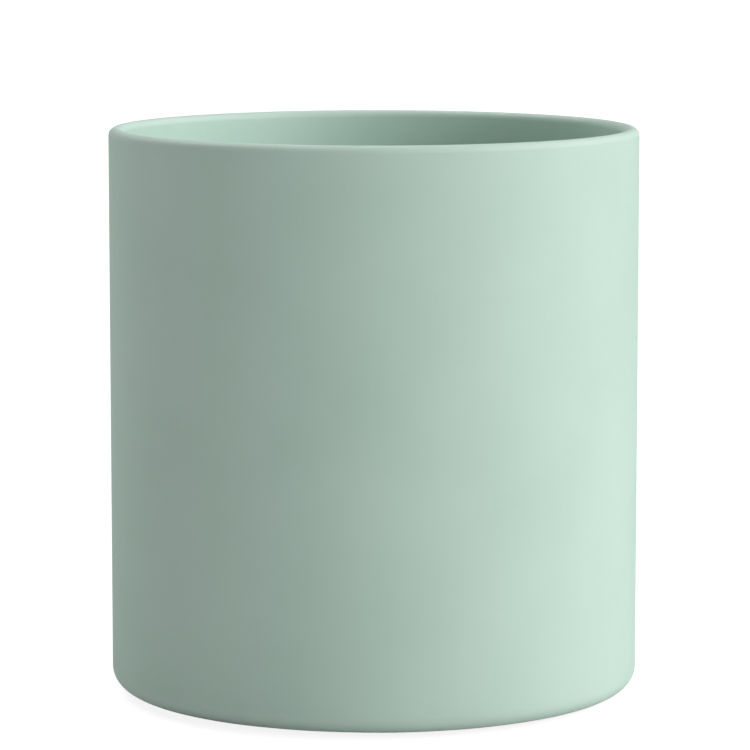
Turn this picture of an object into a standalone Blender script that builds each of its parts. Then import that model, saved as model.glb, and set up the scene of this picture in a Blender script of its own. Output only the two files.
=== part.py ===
"""Brush holder pot: a straight-sided ceramic pot on four silicone foot pads.

Metres, +Z up. The origin is on the pot's axis, on the surface that the pads stand on.
"""

from math import cos, pi, radians, sin

import bpy

# Pot body, from the foot ring's flat up to the top of the lip
OUTER_DIAMETER = 0.100
BODY_HEIGHT = 0.1063
WALL_THICKNESS = 0.0028
FLOOR_THICKNESS = 0.0040
BASE_EDGE_RADIUS = 0.0038
COVE_RADIUS = 0.0060

# Recess inside the foot ring
FOOT_RING_INNER_RADIUS = 0.0400
RECESS_DEPTH = 0.0015
RECESS_EDGE_RADIUS = 0.0007

# Foot pads, stuck in the recess and standing proud of the foot ring
PAD_DIAMETER = 0.0100
PAD_EDGE_RADIUS = 0.0006
PAD_PROUD = 0.0008
PAD_CENTRE_RADIUS = 0.0330
FILM_GAP = 0.0003

# Fineness of the round shapes
POT_STEPS = 96
PAD_STEPS = 32
MERGE_DISTANCE = 0.00001

# Heights and radii that follow from the sizes above
OUTER_RADIUS = OUTER_DIAMETER / 2
INNER_RADIUS = OUTER_RADIUS - WALL_THICKNESS
LIP_RADIUS = WALL_THICKNESS / 2
FOOT_Z = PAD_PROUD
RECESS_Z = FOOT_Z + RECESS_DEPTH
FLOOR_Z = RECESS_Z + FLOOR_THICKNESS
LIP_CENTRE_Z = FOOT_Z + BODY_HEIGHT - LIP_RADIUS
PAD_TOP_Z = RECESS_Z - FILM_GAP

PAD_ANGLES = {
    "front_left": 225,
    "front_right": 315,
    "back_left": 135,
    "back_right": 45,
}


def clear_scene():
    """Removes every object, so that the script starts from an empty scene."""
    for obj in list(bpy.data.objects):
        bpy.data.objects.remove(obj)


def make_collection(name):
    """A new collection under the scene's own."""
    collection = bpy.data.collections.new(name)
    bpy.context.scene.collection.children.link(collection)
    return collection


def make_material(name, colour, roughness):
    """A Principled material with one colour and no metal."""
    material = bpy.data.materials.new(name)
    material.use_nodes = True
    shader = material.node_tree.nodes["Principled BSDF"]
    shader.inputs["Base Color"].default_value = (*colour, 1.0)
    shader.inputs["Roughness"].default_value = roughness
    shader.inputs["Metallic"].default_value = 0.0
    return material


def arc(centre_r, centre_z, radius, start_deg, end_deg, segments):
    """Points (r, z) along an arc, both ends included, angles counted from +r towards +z."""
    points = []
    for i in range(segments + 1):
        angle = radians(start_deg + (end_deg - start_deg) * i / segments)
        points.append((centre_r + radius * cos(angle), centre_z + radius * sin(angle)))
    return points


def turned_piece(name, profile, steps, material, collection):
    """A closed turned piece. The profile starts and ends on the axis and runs down its outer side."""
    mesh = bpy.data.meshes.new(name)
    edges = [(i, i + 1) for i in range(len(profile) - 1)]
    mesh.from_pydata([(r, 0.0, z) for r, z in profile], edges, [])
    obj = bpy.data.objects.new(name, mesh)
    obj.data.materials.append(material)
    collection.objects.link(obj)
    screw = obj.modifiers.new("turn", "SCREW")
    screw.axis = "Z"
    screw.angle = 2 * pi
    screw.steps = steps
    screw.render_steps = steps
    screw.use_merge_vertices = True
    screw.merge_threshold = MERGE_DISTANCE
    screw.use_smooth_shade = True
    return obj


def pot_profile():
    """From the middle of the inner floor, up the inside, over the lip, down the outside and under the base."""
    inside = [(0.0, FLOOR_Z)]
    inside += arc(INNER_RADIUS - COVE_RADIUS, FLOOR_Z + COVE_RADIUS, COVE_RADIUS, -90, 0, 6)
    lip = arc(OUTER_RADIUS - LIP_RADIUS, LIP_CENTRE_Z, LIP_RADIUS, 180, 0, 10)
    base_edge = arc(
        OUTER_RADIUS - BASE_EDGE_RADIUS, FOOT_Z + BASE_EDGE_RADIUS, BASE_EDGE_RADIUS, 0, -90, 6
    )
    recess_edge = arc(
        FOOT_RING_INNER_RADIUS + RECESS_EDGE_RADIUS, FOOT_Z + RECESS_EDGE_RADIUS,
        RECESS_EDGE_RADIUS, 270, 180, 3,
    )
    recess = [(FOOT_RING_INNER_RADIUS, RECESS_Z), (0.0, RECESS_Z)]
    return inside + lip + base_edge + recess_edge + recess


def pad_profile():
    """A flat round pad with a rounded lower edge."""
    radius = PAD_DIAMETER / 2
    edge = arc(radius - PAD_EDGE_RADIUS, PAD_EDGE_RADIUS, PAD_EDGE_RADIUS, 0, -90, 3)
    return [(0.0, PAD_TOP_Z), (radius, PAD_TOP_Z)] + edge + [(0.0, 0.0)]


def make_pot(collection):
    """The one-piece ceramic body."""
    glaze = make_material("mint_glaze", (0.54, 0.70, 0.61), 0.5)
    turned_piece("pot_body", pot_profile(), POT_STEPS, glaze, collection)


def make_foot_pads(collection):
    """The four pads, a quarter turn apart under the base."""
    silicone = make_material("pad_silicone", (0.72, 0.74, 0.73), 0.4)
    for place, angle_deg in PAD_ANGLES.items():
        pad = turned_piece("foot_pad_" + place, pad_profile(), PAD_STEPS, silicone, collection)
        angle = radians(angle_deg)
        pad.location = (PAD_CENTRE_RADIUS * cos(angle), PAD_CENTRE_RADIUS * sin(angle), 0.0)


def main():
    clear_scene()
    parts = make_collection("brush_holder_pot")
    make_pot(parts)
    make_foot_pads(parts)


main()
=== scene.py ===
"""Looks of the brush holder pot: matte mint glaze over a cast clay body, on four silicone foot pads.

Metres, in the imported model's frame: +Z up, with the pot's axis at x = y = 0.
"""

from math import cos, pi, radians, sin

import bpy
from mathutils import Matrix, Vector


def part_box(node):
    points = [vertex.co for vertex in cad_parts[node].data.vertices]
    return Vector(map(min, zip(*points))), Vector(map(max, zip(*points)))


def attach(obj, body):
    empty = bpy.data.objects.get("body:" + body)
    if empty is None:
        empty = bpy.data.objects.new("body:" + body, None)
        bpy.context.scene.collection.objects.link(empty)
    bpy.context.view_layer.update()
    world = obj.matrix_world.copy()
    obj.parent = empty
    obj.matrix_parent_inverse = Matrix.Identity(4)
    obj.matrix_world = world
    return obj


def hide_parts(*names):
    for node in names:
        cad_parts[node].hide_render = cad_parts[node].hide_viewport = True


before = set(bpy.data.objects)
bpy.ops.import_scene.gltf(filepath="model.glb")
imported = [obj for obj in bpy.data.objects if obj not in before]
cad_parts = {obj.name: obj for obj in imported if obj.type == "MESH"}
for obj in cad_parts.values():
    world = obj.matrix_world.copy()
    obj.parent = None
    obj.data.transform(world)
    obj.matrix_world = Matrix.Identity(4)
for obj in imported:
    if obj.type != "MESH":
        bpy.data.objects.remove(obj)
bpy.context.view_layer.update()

MM = 0.001

pot_low, pot_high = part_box("pot_body")
pad_low, pad_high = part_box("foot_pad_front_left")

# The pot's section
OUTER_RADIUS = (pot_high.x - pot_low.x) / 2
FOOT_Z = pot_low.z
LIP_TOP_Z = pot_high.z
WALL = 2.8 * MM
INNER_RADIUS = OUTER_RADIUS - WALL
LIP_RADIUS = WALL / 2
BASE_EDGE_RADIUS = 3.8 * MM
COVE_RADIUS = 6.0 * MM
FLOOR_Z = FOOT_Z + 5.5 * MM
RECESS_Z = FOOT_Z + 1.5 * MM
FOOT_RING_INNER_RADIUS = 40.0 * MM
FOOT_RING_EDGE_RADIUS = 0.7 * MM
RECESS_CORNER_RADIUS = 0.4 * MM

# The glaze's thickness at its wiped edges: on the base edge and in the recess
GLAZE_COAT = 0.16 * MM
RECESS_COAT_DEPTH = 0.6 * GLAZE_COAT

# What share of a full coat lies where the glaze is thin or pooled, which sets its colour. These shares also
# paint light and shade: a painted highlight on the lip, painted light lifting the base edge's shade, and
# painted shade up the inside wall.
# The lip's thin coat makes it paler: partly real thin glaze, partly a painted highlight standing in for
# light from above.
LIP_COAT_PAINTED_HIGHLIGHT = 0.5
# The base edge's coat is kept thin so that it reads paler: painted light against the shade under the edge,
# as well as glaze thinned by wiping.
BASE_EDGE_COAT_PAINTED_LIGHT = 0.7
WIPED_COAT = 0.5
# The inside wall's extra coat darkens and deepens its green: painted shade inside the pot, on top of a
# little pooled glaze.
INSIDE_COAT_PAINTED_SHADE = 1.05
ABOVE_COVE_COAT = 1.1
COVE_COAT = 1.2

# Where the glaze is wiped off: angles on the base edge and on the foot ring's inner edge, and their waviness
OUTER_WIPE_DEG = -66.0
INNER_WIPE_DEG = 222.0
WIPE_WAVE_DEG = 3.0

# How far round each edge the glaze's own step down to the clay runs
OUTER_STEP_DEG = 0.5
INNER_STEP_DEG = 4.0

# The angles where the bare clay's edges meet its flat, and how far in from them the flat starts
OUTER_FLAT_DEG = -78.0
INNER_FLAT_DEG = 262.0
FLAT_INSET = 0.2 * MM

# How far firing pulls the cast wall off a true circle, and the lip off a true plane
WALL_WANDER = 0.05 * MM
LIP_WANDER = 0.04 * MM

# A foot pad, and the adhesive film between it and the base
PAD_PLACES = ("front_left", "front_right", "back_left", "back_right")
PAD_TOP_Z = pad_high.z
PAD_INSET = 0.05 * MM
PAD_RADIUS = (pad_high.x - pad_low.x) / 2 - PAD_INSET
PAD_TAPER = 0.2 * MM
PAD_FOOT_EDGE_RADIUS = 0.55 * MM
PAD_SHOULDER_RADIUS = 0.15 * MM
FILM_INSET = 0.2 * MM
FILM_RADIUS = PAD_RADIUS - FILM_INSET
FILM_SQUEEZE = 0.06 * MM

POT_STEPS = 360
PAD_STEPS = 72


# Turned shapes

def arc(centre_r, centre_z, radius, start_deg, end_deg, segments):
    """Points (r, z) along an arc, both ends included, with angles from +r towards +z."""
    points = []
    for i in range(segments + 1):
        angle = radians(start_deg + (end_deg - start_deg) * i / segments)
        points.append((centre_r + radius * cos(angle), centre_z + radius * sin(angle)))
    return points


def line(start, end, segments):
    """Points (r, z) along a straight line, both ends included."""
    points = []
    for i in range(segments + 1):
        part = i / segments
        points.append((start[0] + (end[0] - start[0]) * part, start[1] + (end[1] - start[1]) * part))
    return points


def coated(points, first_coat, last_coat):
    """The points as (r, z, coat). The coat, a share of the glaze's full thickness, changes evenly."""
    last = len(points) - 1
    return [(r, z, first_coat + (last_coat - first_coat) * i / last) for i, (r, z) in enumerate(points)]


def bare(points):
    """The points as (r, z, coat), without glaze."""
    return coated(points, 0.0, 0.0)


def without_repeats(section):
    """The section with each point that lies on the one before it left out."""
    kept = [section[0]]
    for point in section[1:]:
        if abs(point[0] - kept[-1][0]) + abs(point[1] - kept[-1][1]) > 0.0001 * MM:
            kept.append(point)
    return kept


def turned_mesh(name, section, steps):
    """A closed mesh turned about Z. section(turn) gives (r, z, coat) points that start and end on the axis,
    as many at every turn. The coat is kept on the points as the attribute glaze_coat."""
    turns = [2 * pi * k / steps for k in range(steps)]
    sections = [section(turn) for turn in turns]
    rows = range(1, len(sections[0]) - 1)
    start, end = sections[0][0], sections[0][-1]
    verts = [(0.0, 0.0, start[1])]
    coats = [start[2]]
    for row in rows:
        for turn, points in zip(turns, sections):
            r, z, coat = points[row]
            verts.append((r * cos(turn), r * sin(turn), z))
            coats.append(coat)
    verts.append((0.0, 0.0, end[1]))
    coats.append(end[2])

    last = len(verts) - 1
    faces = []
    for k in range(steps):
        n = (k + 1) % steps
        faces.append((0, 1 + k, 1 + n))
        for row in rows[:-1]:
            a = 1 + (row - 1) * steps
            b = a + steps
            faces.append((a + k, b + k, b + n, a + n))
        faces.append((last - steps + k, last, last - steps + n))

    mesh = bpy.data.meshes.new(name)
    mesh.from_pydata(verts, [], faces)
    mesh.attributes.new("glaze_coat", "FLOAT", "POINT").data.foreach_set("value", coats)
    mesh.shade_smooth()
    return mesh


def add_piece(name, mesh, centre=(0.0, 0.0, 0.0)):
    """Puts a finished mesh in the scene as a piece of the object."""
    piece = bpy.data.objects.new(name, mesh)
    piece.location = centre
    bpy.context.scene.collection.objects.link(piece)
    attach(piece, "root")
    return piece


# The pot

def wander(turn, height):
    """From 0 to 1: a slow unevenness round the pot, which shifts with the height (0 foot, 1 lip)."""
    oval = cos(2 * turn + 0.7 + 0.9 * height)
    three_lobes = cos(3 * turn - 1.9 * height)
    ripple = cos(7 * turn + 5.0 * height)
    return 0.5 + 0.5 * (oval + 0.5 * three_lobes + 0.25 * ripple) / (1 + 0.5 + 0.25)


def wipe_wave(turn):
    """From -1 to 1: how the hand-wiped edge of the glaze waves along the foot."""
    return (cos(3 * turn + 0.4) + 0.6 * cos(8 * turn + 2.0) + 0.4 * cos(19 * turn)) / (1 + 0.6 + 0.4)


def inside_section(lip_z):
    """From the middle of the inner floor up to the lip. The glaze is thickest in the cove. The deeper tint
    up the inside wall is partly pooled glaze and partly painted shade inside the pot.
    """
    cove_r = INNER_RADIUS - COVE_RADIUS
    cove_z = FLOOR_Z + COVE_RADIUS
    floor = coated(line((0.0, FLOOR_Z), (cove_r, FLOOR_Z), 10), 1.0, COVE_COAT)
    cove = coated(arc(cove_r, cove_z, COVE_RADIUS, -90, 0, 14), COVE_COAT, ABOVE_COVE_COAT)
    wall = coated(line((INNER_RADIUS, cove_z), (INNER_RADIUS, lip_z), 26), ABOVE_COVE_COAT, INSIDE_COAT_PAINTED_SHADE)
    return floor + cove + wall


def lip_section(lip_z):
    """Over the full-round lip, where the glaze is thin across the top. Its paler colour there is partly thin
    glaze and partly a painted highlight.
    """
    centre_r = OUTER_RADIUS - LIP_RADIUS
    rise = coated(arc(centre_r, lip_z, LIP_RADIUS, 180, 140, 5), INSIDE_COAT_PAINTED_SHADE, LIP_COAT_PAINTED_HIGHLIGHT)
    top = coated(arc(centre_r, lip_z, LIP_RADIUS, 140, 40, 10), LIP_COAT_PAINTED_HIGHLIGHT, LIP_COAT_PAINTED_HIGHLIGHT)
    fall = coated(arc(centre_r, lip_z, LIP_RADIUS, 40, 0, 5), LIP_COAT_PAINTED_HIGHLIGHT, 1.0)
    return rise + top + fall


def outside_section(lip_z, wipe_deg):
    """Down the outside and round the base edge, where the glaze thins to the line where it is wiped off. The
    thinner coat over the base edge also makes it paler, as painted light that lifts the shade under the
    edge.
    """
    edge_r = OUTER_RADIUS - BASE_EDGE_RADIUS
    edge_z = FOOT_Z + BASE_EDGE_RADIUS
    wall = coated(line((OUTER_RADIUS, lip_z), (OUTER_RADIUS, edge_z), 32), 1.0, 1.0)
    edge = coated(arc(edge_r, edge_z, BASE_EDGE_RADIUS, 0, -20, 4), 1.0, BASE_EDGE_COAT_PAINTED_LIGHT)
    wiped = coated(arc(edge_r, edge_z, BASE_EDGE_RADIUS, -20, wipe_deg, 11), BASE_EDGE_COAT_PAINTED_LIGHT, WIPED_COAT)
    return wall + edge + wiped


def foot_section(outer_wipe_deg, inner_wipe_deg):
    """Across the bare clay of the foot ring, which lies one coat of glaze behind the glazed edge."""
    edge_r = OUTER_RADIUS - BASE_EDGE_RADIUS
    edge_z = FOOT_Z + BASE_EDGE_RADIUS
    ring_r = FOOT_RING_INNER_RADIUS + FOOT_RING_EDGE_RADIUS
    ring_z = FOOT_Z + FOOT_RING_EDGE_RADIUS
    clay_radius = BASE_EDGE_RADIUS - GLAZE_COAT
    outer = arc(edge_r, edge_z, clay_radius, outer_wipe_deg - OUTER_STEP_DEG, OUTER_FLAT_DEG, 4)
    flat = line((edge_r - FLAT_INSET, FOOT_Z), (ring_r + FLAT_INSET, FOOT_Z), 8)
    inner = arc(ring_r, ring_z, FOOT_RING_EDGE_RADIUS, INNER_FLAT_DEG, inner_wipe_deg, 4)
    return bare(outer + flat + inner)


def recess_section(inner_wipe_deg):
    """From the foot ring's inner edge up into the recess and in to the middle of the base."""
    ring_r = FOOT_RING_INNER_RADIUS + FOOT_RING_EDGE_RADIUS
    ring_z = FOOT_Z + FOOT_RING_EDGE_RADIUS
    corner_r = FOOT_RING_INNER_RADIUS - RECESS_COAT_DEPTH - RECESS_CORNER_RADIUS
    corner_z = RECESS_Z - RECESS_CORNER_RADIUS
    edge_radius = FOOT_RING_EDGE_RADIUS + RECESS_COAT_DEPTH
    edge = arc(ring_r, ring_z, edge_radius, inner_wipe_deg - INNER_STEP_DEG, 180, 4)
    corner = arc(corner_r, corner_z, RECESS_CORNER_RADIUS, 0, 90, 5)
    ceiling = line((corner_r, RECESS_Z), (0.0, RECESS_Z), 8)
    return coated(edge, WIPED_COAT, 1.0) + coated(corner, COVE_COAT, COVE_COAT) + coated(ceiling, 1.0, 1.0)


def pot_section(turn):
    """The whole section, from the middle of the inner floor over the lip to the middle of the base."""
    lip_z = LIP_TOP_Z - LIP_RADIUS - LIP_WANDER * wander(turn, 1.0)
    outer_wipe_deg = OUTER_WIPE_DEG + WIPE_WAVE_DEG * wipe_wave(turn)
    inner_wipe_deg = INNER_WIPE_DEG + 2 * WIPE_WAVE_DEG * wipe_wave(turn + 1.0)
    true = inside_section(lip_z) + lip_section(lip_z) + outside_section(lip_z, outer_wipe_deg)
    true += foot_section(outer_wipe_deg, inner_wipe_deg) + recess_section(inner_wipe_deg)
    section = []
    for r, z, coat in without_repeats(true):
        height = (z - FOOT_Z) / (LIP_TOP_Z - FOOT_Z)
        section.append((r * (1 - WALL_WANDER * wander(turn, height) / OUTER_RADIUS), z, coat))
    return section


def make_pot():
    mesh = turned_mesh("glazed_pot", pot_section, POT_STEPS)
    mesh.materials.append(glaze_material())
    mesh.materials.append(clay_material())
    coats = [point.value for point in mesh.attributes["glaze_coat"].data]
    for face in mesh.polygons:
        if max(coats[i] for i in face.vertices) == 0.0:
            face.material_index = 1
    pot = add_piece("glazed_pot", mesh)
    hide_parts("pot_body")


# The foot pads

def pad_section(turn):
    """A round pad, a little narrower at the face that it stands on, with rounded edges."""
    shoulder_r = PAD_RADIUS - PAD_SHOULDER_RADIUS
    shoulder_z = PAD_TOP_Z - PAD_SHOULDER_RADIUS
    edge_r = PAD_RADIUS - PAD_TAPER - PAD_FOOT_EDGE_RADIUS
    top = line((0.0, PAD_TOP_Z), (shoulder_r, PAD_TOP_Z), 4)
    top += arc(shoulder_r, shoulder_z, PAD_SHOULDER_RADIUS, 90, 0, 4)
    foot = arc(edge_r, PAD_FOOT_EDGE_RADIUS, PAD_FOOT_EDGE_RADIUS, 6, -90, 8)
    foot += line((edge_r, 0.0), (0.0, 0.0), 4)
    return without_repeats(bare(top + foot))


def film_section(turn):
    """The adhesive disc between a pad and the base, with a slightly squeezed edge."""
    edge_r = FILM_RADIUS + FILM_SQUEEZE * cos(5 * turn)
    edge_z = (PAD_TOP_Z + RECESS_Z) / 2
    top = line((0.0, RECESS_Z), (edge_r, RECESS_Z), 3)
    side = arc(edge_r, edge_z, (RECESS_Z - PAD_TOP_Z) / 2, 90, -90, 6)
    bottom = line((edge_r, PAD_TOP_Z), (0.0, PAD_TOP_Z), 3)
    return without_repeats(bare(top + side + bottom))


def make_foot_pads():
    pad_mesh = turned_mesh("pad", pad_section, PAD_STEPS)
    pad_mesh.materials.append(silicone_material())
    film_mesh = turned_mesh("pad_film", film_section, PAD_STEPS)
    film_mesh.materials.append(adhesive_material())
    for place in PAD_PLACES:
        low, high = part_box("foot_pad_" + place)
        centre = ((low.x + high.x) / 2, (low.y + high.y) / 2, 0.0)
        pad = add_piece("pad_" + place, pad_mesh, centre)
        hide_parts("foot_pad_" + place)
        add_piece("pad_film_" + place, film_mesh, centre)


# Materials

class Nodes:
    """Short calls for building one material's nodes."""

    def __init__(self, name):
        self.material = bpy.data.materials.new(name)
        self.material.use_nodes = True
        self.tree = self.material.node_tree
        self.shader = self.tree.nodes["Principled BSDF"]
        self.place = self.tree.nodes.new("ShaderNodeTexCoord").outputs["Object"]

    def link(self, output, socket):
        self.tree.links.new(output, socket)

    def drive(self, output, shader_socket):
        """Feeds one of the shader's own sockets."""
        self.link(output, self.shader.inputs[shader_socket])

    def noise(self, size, detail=2.0, roughness=0.5):
        """Noise from 0 to 1 whose features are about size metres across."""
        node = self.tree.nodes.new("ShaderNodeTexNoise")
        node.inputs["Scale"].default_value = 1.0 / size
        node.inputs["Detail"].default_value = detail
        node.inputs["Roughness"].default_value = roughness
        self.link(self.place, node.inputs["Vector"])
        return node.outputs["Fac"]

    def cells(self, size):
        """Distance, from 0 up, to the nearest of scattered points that are about size metres apart."""
        node = self.tree.nodes.new("ShaderNodeTexVoronoi")
        node.inputs["Scale"].default_value = 1.0 / size
        self.link(self.place, node.inputs["Vector"])
        return node.outputs["Distance"]

    def attribute(self, name):
        node = self.tree.nodes.new("ShaderNodeAttribute")
        node.attribute_name = name
        return node.outputs["Fac"]

    def span(self, value, low, high, to_low, to_high):
        """value mapped from low..high to to_low..to_high, and held there outside."""
        node = self.tree.nodes.new("ShaderNodeMapRange")
        self.link(value, node.inputs["Value"])
        node.inputs["From Min"].default_value = low
        node.inputs["From Max"].default_value = high
        node.inputs["To Min"].default_value = to_low
        node.inputs["To Max"].default_value = to_high
        return node.outputs["Result"]

    def plus_share(self, base, share, extra):
        """base + share * extra, for two outputs and a number."""
        node = self.tree.nodes.new("ShaderNodeMath")
        node.operation = "MULTIPLY_ADD"
        self.link(extra, node.inputs[0])
        node.inputs[1].default_value = share
        self.link(base, node.inputs[2])
        return node.outputs[0]

    def mix(self, factor, a, b):
        """Colour a at factor 0 and colour b at factor 1. Each is a colour or an output."""
        node = self.tree.nodes.new("ShaderNodeMix")
        node.data_type = "RGBA"
        self.link(factor, node.inputs["Factor"])
        for socket, value in ((node.inputs[6], a), (node.inputs[7], b)):
            if isinstance(value, tuple):
                socket.default_value = (*value, 1.0)
            else:
                self.link(value, socket)
        return node.outputs[2]

    def bump(self, height, distance):
        node = self.tree.nodes.new("ShaderNodeBump")
        node.inputs["Distance"].default_value = distance
        self.link(height, node.inputs["Height"])
        self.drive(node.outputs["Normal"], "Normal")


MINT_LIGHT = (0.548, 0.714, 0.630)
MINT_DEEP = (0.506, 0.674, 0.588)
# The pale tint of thin glaze; on the lip it is also a painted highlight and on the base edge painted light.
MINT_THIN_AND_LIT = (0.685, 0.840, 0.760)
# The deep tint of pooled glaze; up the inside wall it is also painted shade.
MINT_POOLED_AND_SHADE = (0.450, 0.655, 0.560)
THIN_AND_LIT_SHARE = 0.55
POOLED_AND_SHADE_SHARE = 0.7

CLAY_DARK = (0.62, 0.585, 0.52)
CLAY_PALE = (0.72, 0.69, 0.63)
CLAY_GRIT = (0.36, 0.31, 0.25)

SILICONE = (0.72, 0.74, 0.73)
DUST = (0.56, 0.55, 0.52)

ADHESIVE = (0.70, 0.68, 0.60)
BUBBLE = (0.88, 0.87, 0.84)


def glaze_material():
    """Matte mint glaze: faint clouds, fine crystals, paler where thin and deeper where pooled. The paler lip
    is also a painted highlight, the paler base edge is also painted light, and the deeper inside wall is
    also painted shade.
    """
    n = Nodes("matte_glaze")
    clouds = n.span(n.noise(26 * MM, detail=3.0), 0.3, 0.7, 0.0, 1.0)
    colour = n.mix(clouds, MINT_DEEP, MINT_LIGHT)
    crystals = n.span(n.noise(0.55 * MM, detail=3.0, roughness=0.6), 0.35, 0.75, 0.0, 0.35)
    colour = n.mix(crystals, colour, MINT_LIGHT)
    coat = n.attribute("glaze_coat")
    # Paler where the coat is thin: real thin glaze, plus a painted highlight on the lip and painted light on
    # the base edge.
    colour = n.mix(n.span(coat, LIP_COAT_PAINTED_HIGHLIGHT, 1.0, THIN_AND_LIT_SHARE, 0.0), colour, MINT_THIN_AND_LIT)
    # Deeper where the coat is heavy: real pooled glaze in the cove and corners, plus painted shade up the
    # inside wall.
    colour = n.mix(n.span(coat, 1.0, COVE_COAT, 0.0, POOLED_AND_SHADE_SHARE), colour, MINT_POOLED_AND_SHADE)
    n.drive(colour, "Base Color")
    n.drive(n.span(n.noise(4 * MM, detail=4.0), 0.3, 0.7, 0.56, 0.68), "Roughness")
    orange_peel = n.noise(1.6 * MM, detail=1.0)
    grain = n.noise(0.22 * MM, detail=2.0)
    n.bump(n.plus_share(orange_peel, 0.25, grain), 0.02 * MM)
    return n.material


def clay_material():
    """Bare fired clay of the foot ring: pale, dry and finely gritty."""
    n = Nodes("bare_clay")
    colour = n.mix(n.noise(5 * MM, detail=4.0), CLAY_DARK, CLAY_PALE)
    grit = n.span(n.cells(0.8 * MM), 0.10, 0.22, 0.45, 0.0)
    n.drive(n.mix(grit, colour, CLAY_GRIT), "Base Color")
    n.drive(n.span(n.noise(1 * MM), 0.3, 0.7, 0.8, 0.95), "Roughness")
    n.bump(n.noise(0.3 * MM, detail=5.0, roughness=0.7), 0.06 * MM)
    return n.material


def silicone_material():
    """Milky translucent silicone with a little dust."""
    n = Nodes("milky_silicone")
    dust = n.span(n.noise(0.7 * MM, detail=5.0, roughness=0.7), 0.5, 0.8, 0.0, 0.5)
    n.drive(n.mix(dust, SILICONE, DUST), "Base Color")
    n.drive(n.span(n.noise(2 * MM, detail=3.0), 0.3, 0.7, 0.32, 0.5), "Roughness")
    n.shader.inputs["Subsurface Weight"].default_value = 0.4
    n.shader.inputs["Subsurface Radius"].default_value = (1.0, 1.0, 1.0)
    n.shader.inputs["Subsurface Scale"].default_value = 1.5 * MM
    n.bump(n.noise(0.25 * MM, detail=3.0), 0.01 * MM)
    return n.material


def adhesive_material():
    """Acrylic adhesive, slightly yellow, with a few tiny bubbles."""
    n = Nodes("acrylic_adhesive")
    bubbles = n.span(n.cells(0.9 * MM), 0.08, 0.16, 0.6, 0.0)
    n.drive(n.mix(bubbles, ADHESIVE, BUBBLE), "Base Color")
    n.drive(n.span(n.noise(1 * MM), 0.3, 0.7, 0.2, 0.35), "Roughness")
    n.bump(n.noise(0.5 * MM), 0.01 * MM)
    return n.material


# Stage

FLOOR_SIZE = 40.0
FLOOR_GREY = 0.58
FLOOR_ROUGHNESS = 0.8
SEEN_FLOOR_GREY = 0.30
SEEN_FLOOR_GLOW = 0.86
SUN_WIDTH_DEG = 40.0

# The camera: straight in front of the pot, looking a little down
SENSOR_MM = 36.0
LENS_MM = 192.6
CAMERA_SIDE = 0.0002
CAMERA_DISTANCE = 0.7561
CAMERA_HEIGHT = 0.1582
CAMERA_DOWN_DEG = 7.47


def split_by_ray(tree, seen, others, surface):
    """The camera's own rays meet the shader seen, and every other ray meets the shader others."""
    mix = tree.nodes.new("ShaderNodeMixShader")
    rays = tree.nodes.new("ShaderNodeLightPath")
    tree.links.new(rays.outputs["Is Camera Ray"], mix.inputs[0])
    tree.links.new(others, mix.inputs[1])
    tree.links.new(seen, mix.inputs[2])
    tree.links.new(mix.outputs[0], surface)


def set_grey(shader, grey, roughness):
    shader.inputs["Base Color"].default_value = (grey, grey, grey, 1.0)
    shader.inputs["Roughness"].default_value = roughness


def make_floor():
    """A wide grey floor, which the camera sees as white with a faint shadow."""
    bpy.ops.mesh.primitive_plane_add(size=FLOOR_SIZE)
    floor = bpy.context.active_object
    floor.name = "floor"
    material = bpy.data.materials.new("floor")
    material.use_nodes = True
    tree = material.node_tree
    matte = tree.nodes["Principled BSDF"]
    set_grey(matte, FLOOR_GREY, FLOOR_ROUGHNESS)
    white = tree.nodes.new("ShaderNodeBsdfPrincipled")
    set_grey(white, SEEN_FLOOR_GREY, FLOOR_ROUGHNESS)
    white.inputs["Emission Color"].default_value = (1.0, 1.0, 1.0, 1.0)
    white.inputs["Emission Strength"].default_value = SEEN_FLOOR_GLOW
    surface = tree.nodes["Material Output"].inputs["Surface"]
    split_by_ray(tree, white.outputs[0], matte.outputs[0], surface)
    floor.data.materials.append(material)


def make_backdrop():
    """White all round to the camera, and dark to every other ray, so that only the suns light the pot."""
    world = bpy.data.worlds.new("white_room")
    world.use_nodes = True
    tree = world.node_tree
    white = tree.nodes["Background"]
    white.inputs["Color"].default_value = (1.0, 1.0, 1.0, 1.0)
    dark = tree.nodes.new("ShaderNodeBackground")
    dark.inputs["Strength"].default_value = 0.0
    surface = tree.nodes["World Output"].inputs["Surface"]
    split_by_ray(tree, white.outputs[0], dark.outputs[0], surface)
    bpy.context.scene.world = world


def make_camera():
    data = bpy.data.cameras.new("camera")
    data.sensor_width = SENSOR_MM
    data.lens = LENS_MM
    camera = bpy.data.objects.new("camera", data)
    camera.location = (CAMERA_SIDE, -CAMERA_DISTANCE, FOOT_Z + CAMERA_HEIGHT)
    camera.rotation_euler = (radians(90 - CAMERA_DOWN_DEG), 0.0, 0.0)
    bpy.context.scene.collection.objects.link(camera)
    bpy.context.scene.camera = camera


def make_sun(name, azimuth_deg, elevation_deg, strength):
    """A wide, soft, far light. Azimuth 0 comes from the camera's side, and 90 from the right."""
    data = bpy.data.lights.new(name, "SUN")
    data.energy = pi * strength
    data.angle = radians(SUN_WIDTH_DEG)
    light = bpy.data.objects.new(name, data)
    light.rotation_euler = (radians(90 - elevation_deg), 0.0, radians(azimuth_deg))
    bpy.context.scene.collection.objects.link(light)


def make_lights():
    make_sun("key", 45, 15, 0.51)
    make_sun("high_key", 75, 35, 0.36)
    make_sun("right", 110, 20, 0.28)
    make_sun("left", -90, 5, 0.32)
    make_sun("back", -145, 50, 0.45)
    bpy.context.scene.view_settings.view_transform = "Standard"


make_pot()
make_foot_pads()
make_floor()
make_backdrop()
make_camera()
make_lights()
